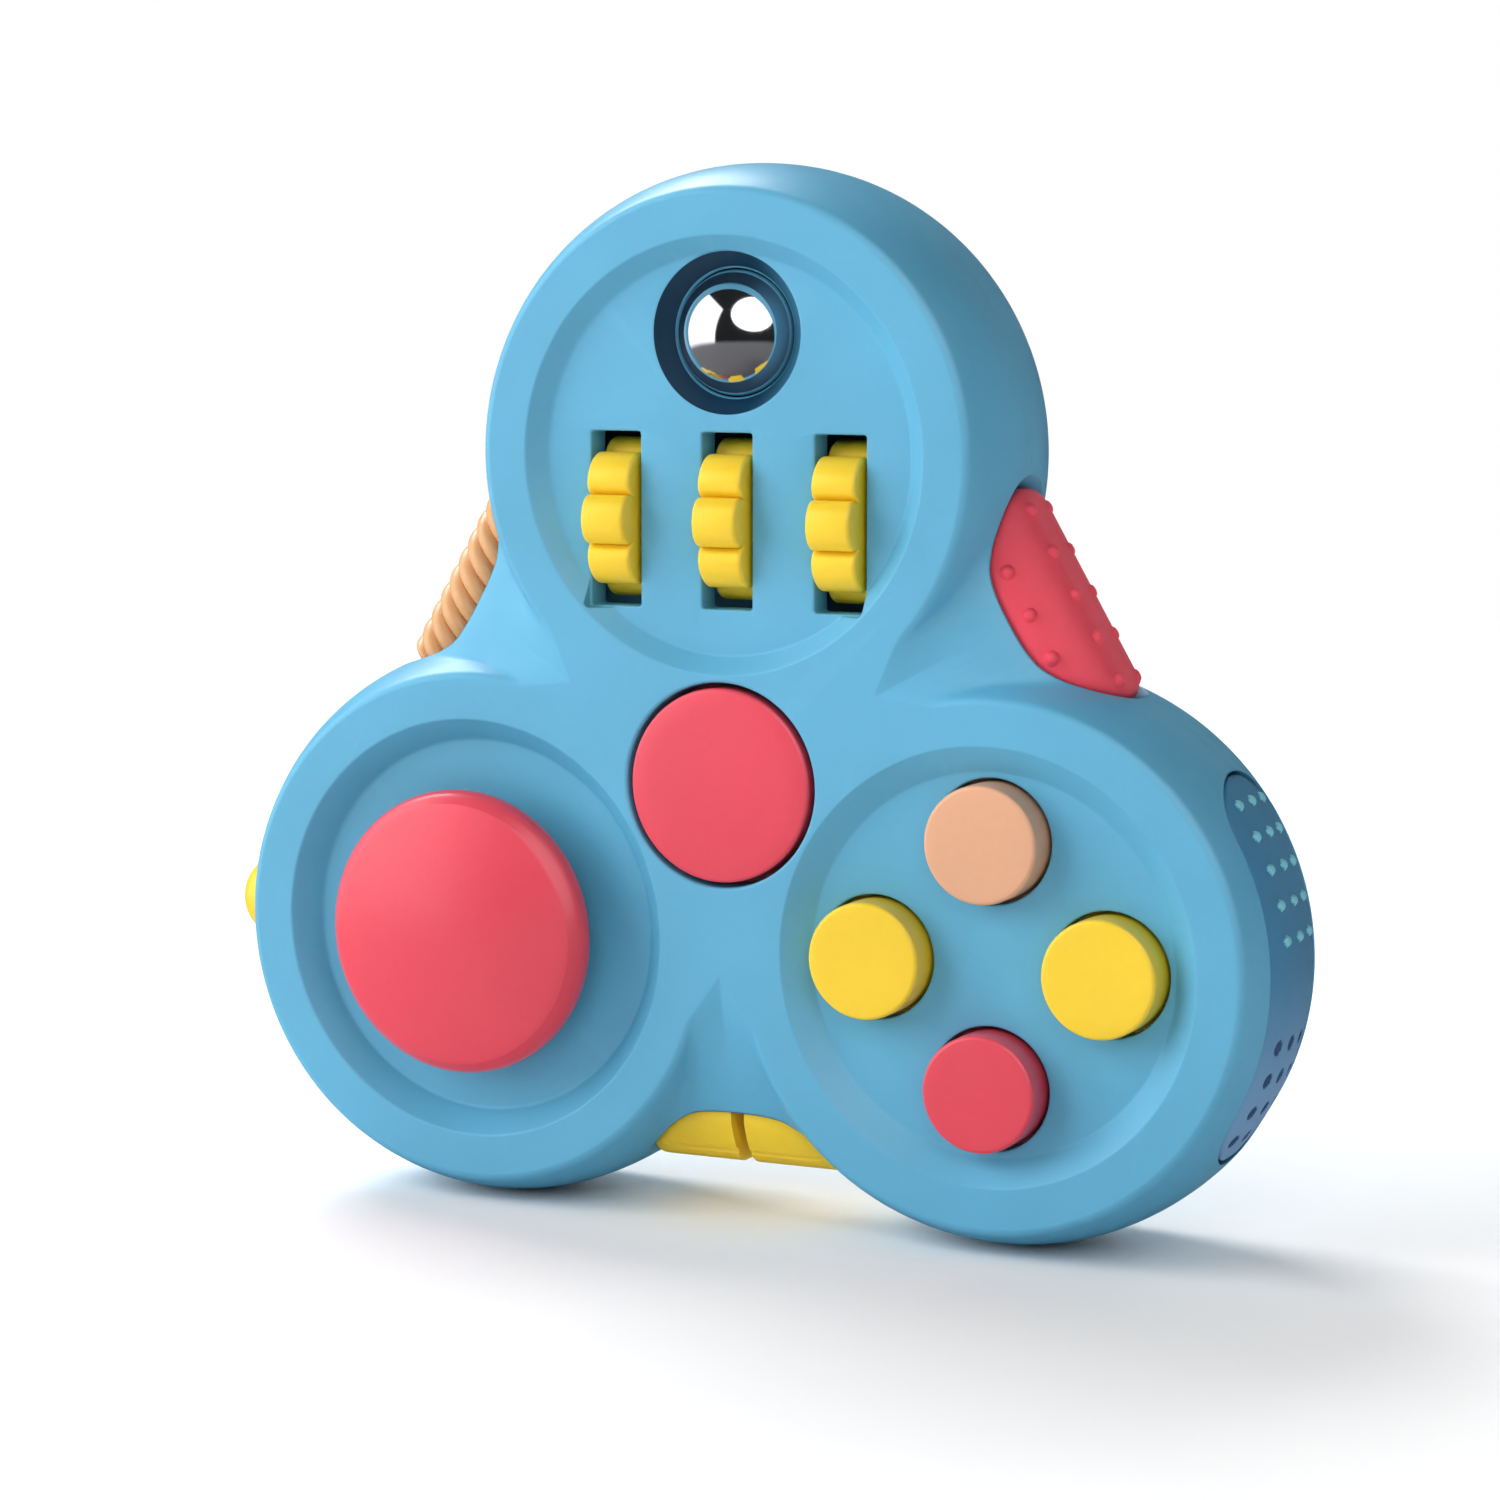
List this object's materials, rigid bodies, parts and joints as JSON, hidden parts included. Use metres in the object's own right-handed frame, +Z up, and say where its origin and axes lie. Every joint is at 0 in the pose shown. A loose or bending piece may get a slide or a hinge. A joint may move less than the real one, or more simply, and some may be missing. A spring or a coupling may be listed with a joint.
{
  "type": "fidget pad",
  "caption": "Three-lobed hand fidget pad with press buttons, a tilting thumb cap, a rolling ball, cog wheels, a rope-twist roller, rocking keys and soft grip pads.",
  "frame": {"origin": "centre of the three lobes on the flat back face", "axes": "+Z up through the lobe with the ball and cog wheels, +Y out of the back face, +X to the right as seen from the front; the front face looks towards -Y"},
  "size_m": [0.0836, 0.0195, 0.075],
  "materials": {
    "blue_shell": "satin moulded",
    "rear_blue": "satin moulded",
    "red_plastic": "satin moulded",
    "yellow_plastic": "satin moulded",
    "peach_plastic": "satin moulded",
    "red_silicone": "soft matt silicone",
    "blue_silicone": "soft matt silicone",
    "clear_silicone": "soft matt silicone",
    "dark_plastic": "as moulded",
    "ball_steel": "polished",
    "pin_steel": "drawn wire"
  },
  "bodies": {
    "body": {"front_shell": "blue_shell", "rear_shell": "rear_blue", "rear_screw_1": "pin_steel", "rear_screw_2": "pin_steel", "rear_screw_3": "pin_steel", "centre_dome": "clear_silicone", "dome_sheet": "clear_silicone", "thumb_housing": "dark_plastic", "thumb_spring": "pin_steel", "ball_seat": "dark_plastic", "cog_axle": "pin_steel", "axle_clamp": "dark_plastic", "roller_pin": "pin_steel", "grip_pad": "red_silicone", "key_left_pin": "pin_steel", "key_right_pin": "pin_steel", "key_pad": "clear_silicone", "side_spring": "pin_steel", "grip_strip": "blue_silicone"},
    "centre_button": {"centre_button": "red_plastic"},
    "button_top": {"button_top": "peach_plastic"},
    "button_left": {"button_left": "yellow_plastic"},
    "button_right": {"button_right": "yellow_plastic"},
    "button_bottom": {"button_bottom": "red_plastic"},
    "gimbal": {"gimbal_ring": "dark_plastic"},
    "thumb": {"thumb_cap": "red_plastic", "thumb_stem": "dark_plastic"},
    "ball": {"steel_ball": "ball_steel"},
    "cog_left": {"cog_left": "yellow_plastic"},
    "cog_middle": {"cog_middle": "yellow_plastic"},
    "cog_right": {"cog_right": "yellow_plastic"},
    "roller": {"rope_roller": "peach_plastic"},
    "key_left": {"key_left": "yellow_plastic"},
    "key_right": {"key_right": "yellow_plastic"},
    "side_button": {"side_button": "yellow_plastic"}
  },
  "joints": [
    {"name": "centre_press", "type": "slide", "parent": "body", "child": "centre_button", "axis": [0, 1, 0], "range_m": [0, 0.0012], "stiffness_N_per_m": 120, "deforming": ["centre_dome"]},
    {"name": "button_top_press", "type": "slide", "parent": "body", "child": "button_top", "axis": [0, 1, 0], "range_m": [0, 0.0012], "stiffness_N_per_m": 120, "deforming": ["dome_sheet"]},
    {"name": "button_left_press", "type": "slide", "parent": "body", "child": "button_left", "axis": [0, 1, 0], "range_m": [0, 0.0012], "stiffness_N_per_m": 120, "deforming": ["dome_sheet"]},
    {"name": "button_right_press", "type": "slide", "parent": "body", "child": "button_right", "axis": [0, 1, 0], "range_m": [0, 0.0012], "stiffness_N_per_m": 120, "deforming": ["dome_sheet"]},
    {"name": "button_bottom_press", "type": "slide", "parent": "body", "child": "button_bottom", "axis": [0, 1, 0], "range_m": [0, 0.0012], "stiffness_N_per_m": 120, "deforming": ["dome_sheet"]},
    {"name": "side_press", "type": "slide", "parent": "body", "child": "side_button", "axis": [1, 0, 0], "range_m": [0, 0.0012], "stiffness_N_per_m": 120, "deforming": ["side_spring"]},
    {"name": "thumb_tilt_up_down", "type": "hinge", "parent": "body", "child": "gimbal", "pos_m": [-0.01992, -0.0075, -0.0115], "axis": [1, 0, 0], "range_deg": [-9, 9], "stiffness_Nm_per_rad": 0.002, "deforming": ["thumb_spring"]},
    {"name": "thumb_tilt_side", "type": "hinge", "parent": "gimbal", "child": "thumb", "pos_m": [-0.01992, -0.0075, -0.0115], "axis": [0, 0, 1], "range_deg": [-9, 9], "stiffness_Nm_per_rad": 0.002, "deforming": ["thumb_spring"]},
    {"name": "ball_roll", "type": "hinge", "parent": "body", "child": "ball", "pos_m": [0, -0.01105, 0.0315], "axis": [1, 0, 0], "continuous": true},
    {"name": "cog_left_spin", "type": "hinge", "parent": "body", "child": "cog_left", "pos_m": [-0.00865, -0.0105, 0.01843], "axis": [1, 0, 0], "continuous": true},
    {"name": "cog_middle_spin", "type": "hinge", "parent": "body", "child": "cog_middle", "pos_m": [0, -0.0105, 0.01843], "axis": [1, 0, 0], "continuous": true},
    {"name": "cog_right_spin", "type": "hinge", "parent": "body", "child": "cog_right", "pos_m": [0.00865, -0.0105, 0.01843], "axis": [1, 0, 0], "continuous": true},
    {"name": "roller_spin", "type": "hinge", "parent": "body", "child": "roller", "pos_m": [-0.02191, -0.0075, 0.01265], "axis": [0.5, 0, 0.866], "continuous": true},
    {"name": "key_left_press", "type": "hinge", "parent": "body", "child": "key_left", "pos_m": [-0.0066, -0.0075, -0.0236], "axis": [0, -1, 0], "range_deg": [0, 5], "stiffness_Nm_per_rad": 0.002, "deforming": ["key_pad"]},
    {"name": "key_right_press", "type": "hinge", "parent": "body", "child": "key_right", "pos_m": [0.0066, -0.0075, -0.0236], "axis": [0, 1, 0], "range_deg": [0, 5], "stiffness_Nm_per_rad": 0.002, "deforming": ["key_pad"]}
  ]
}
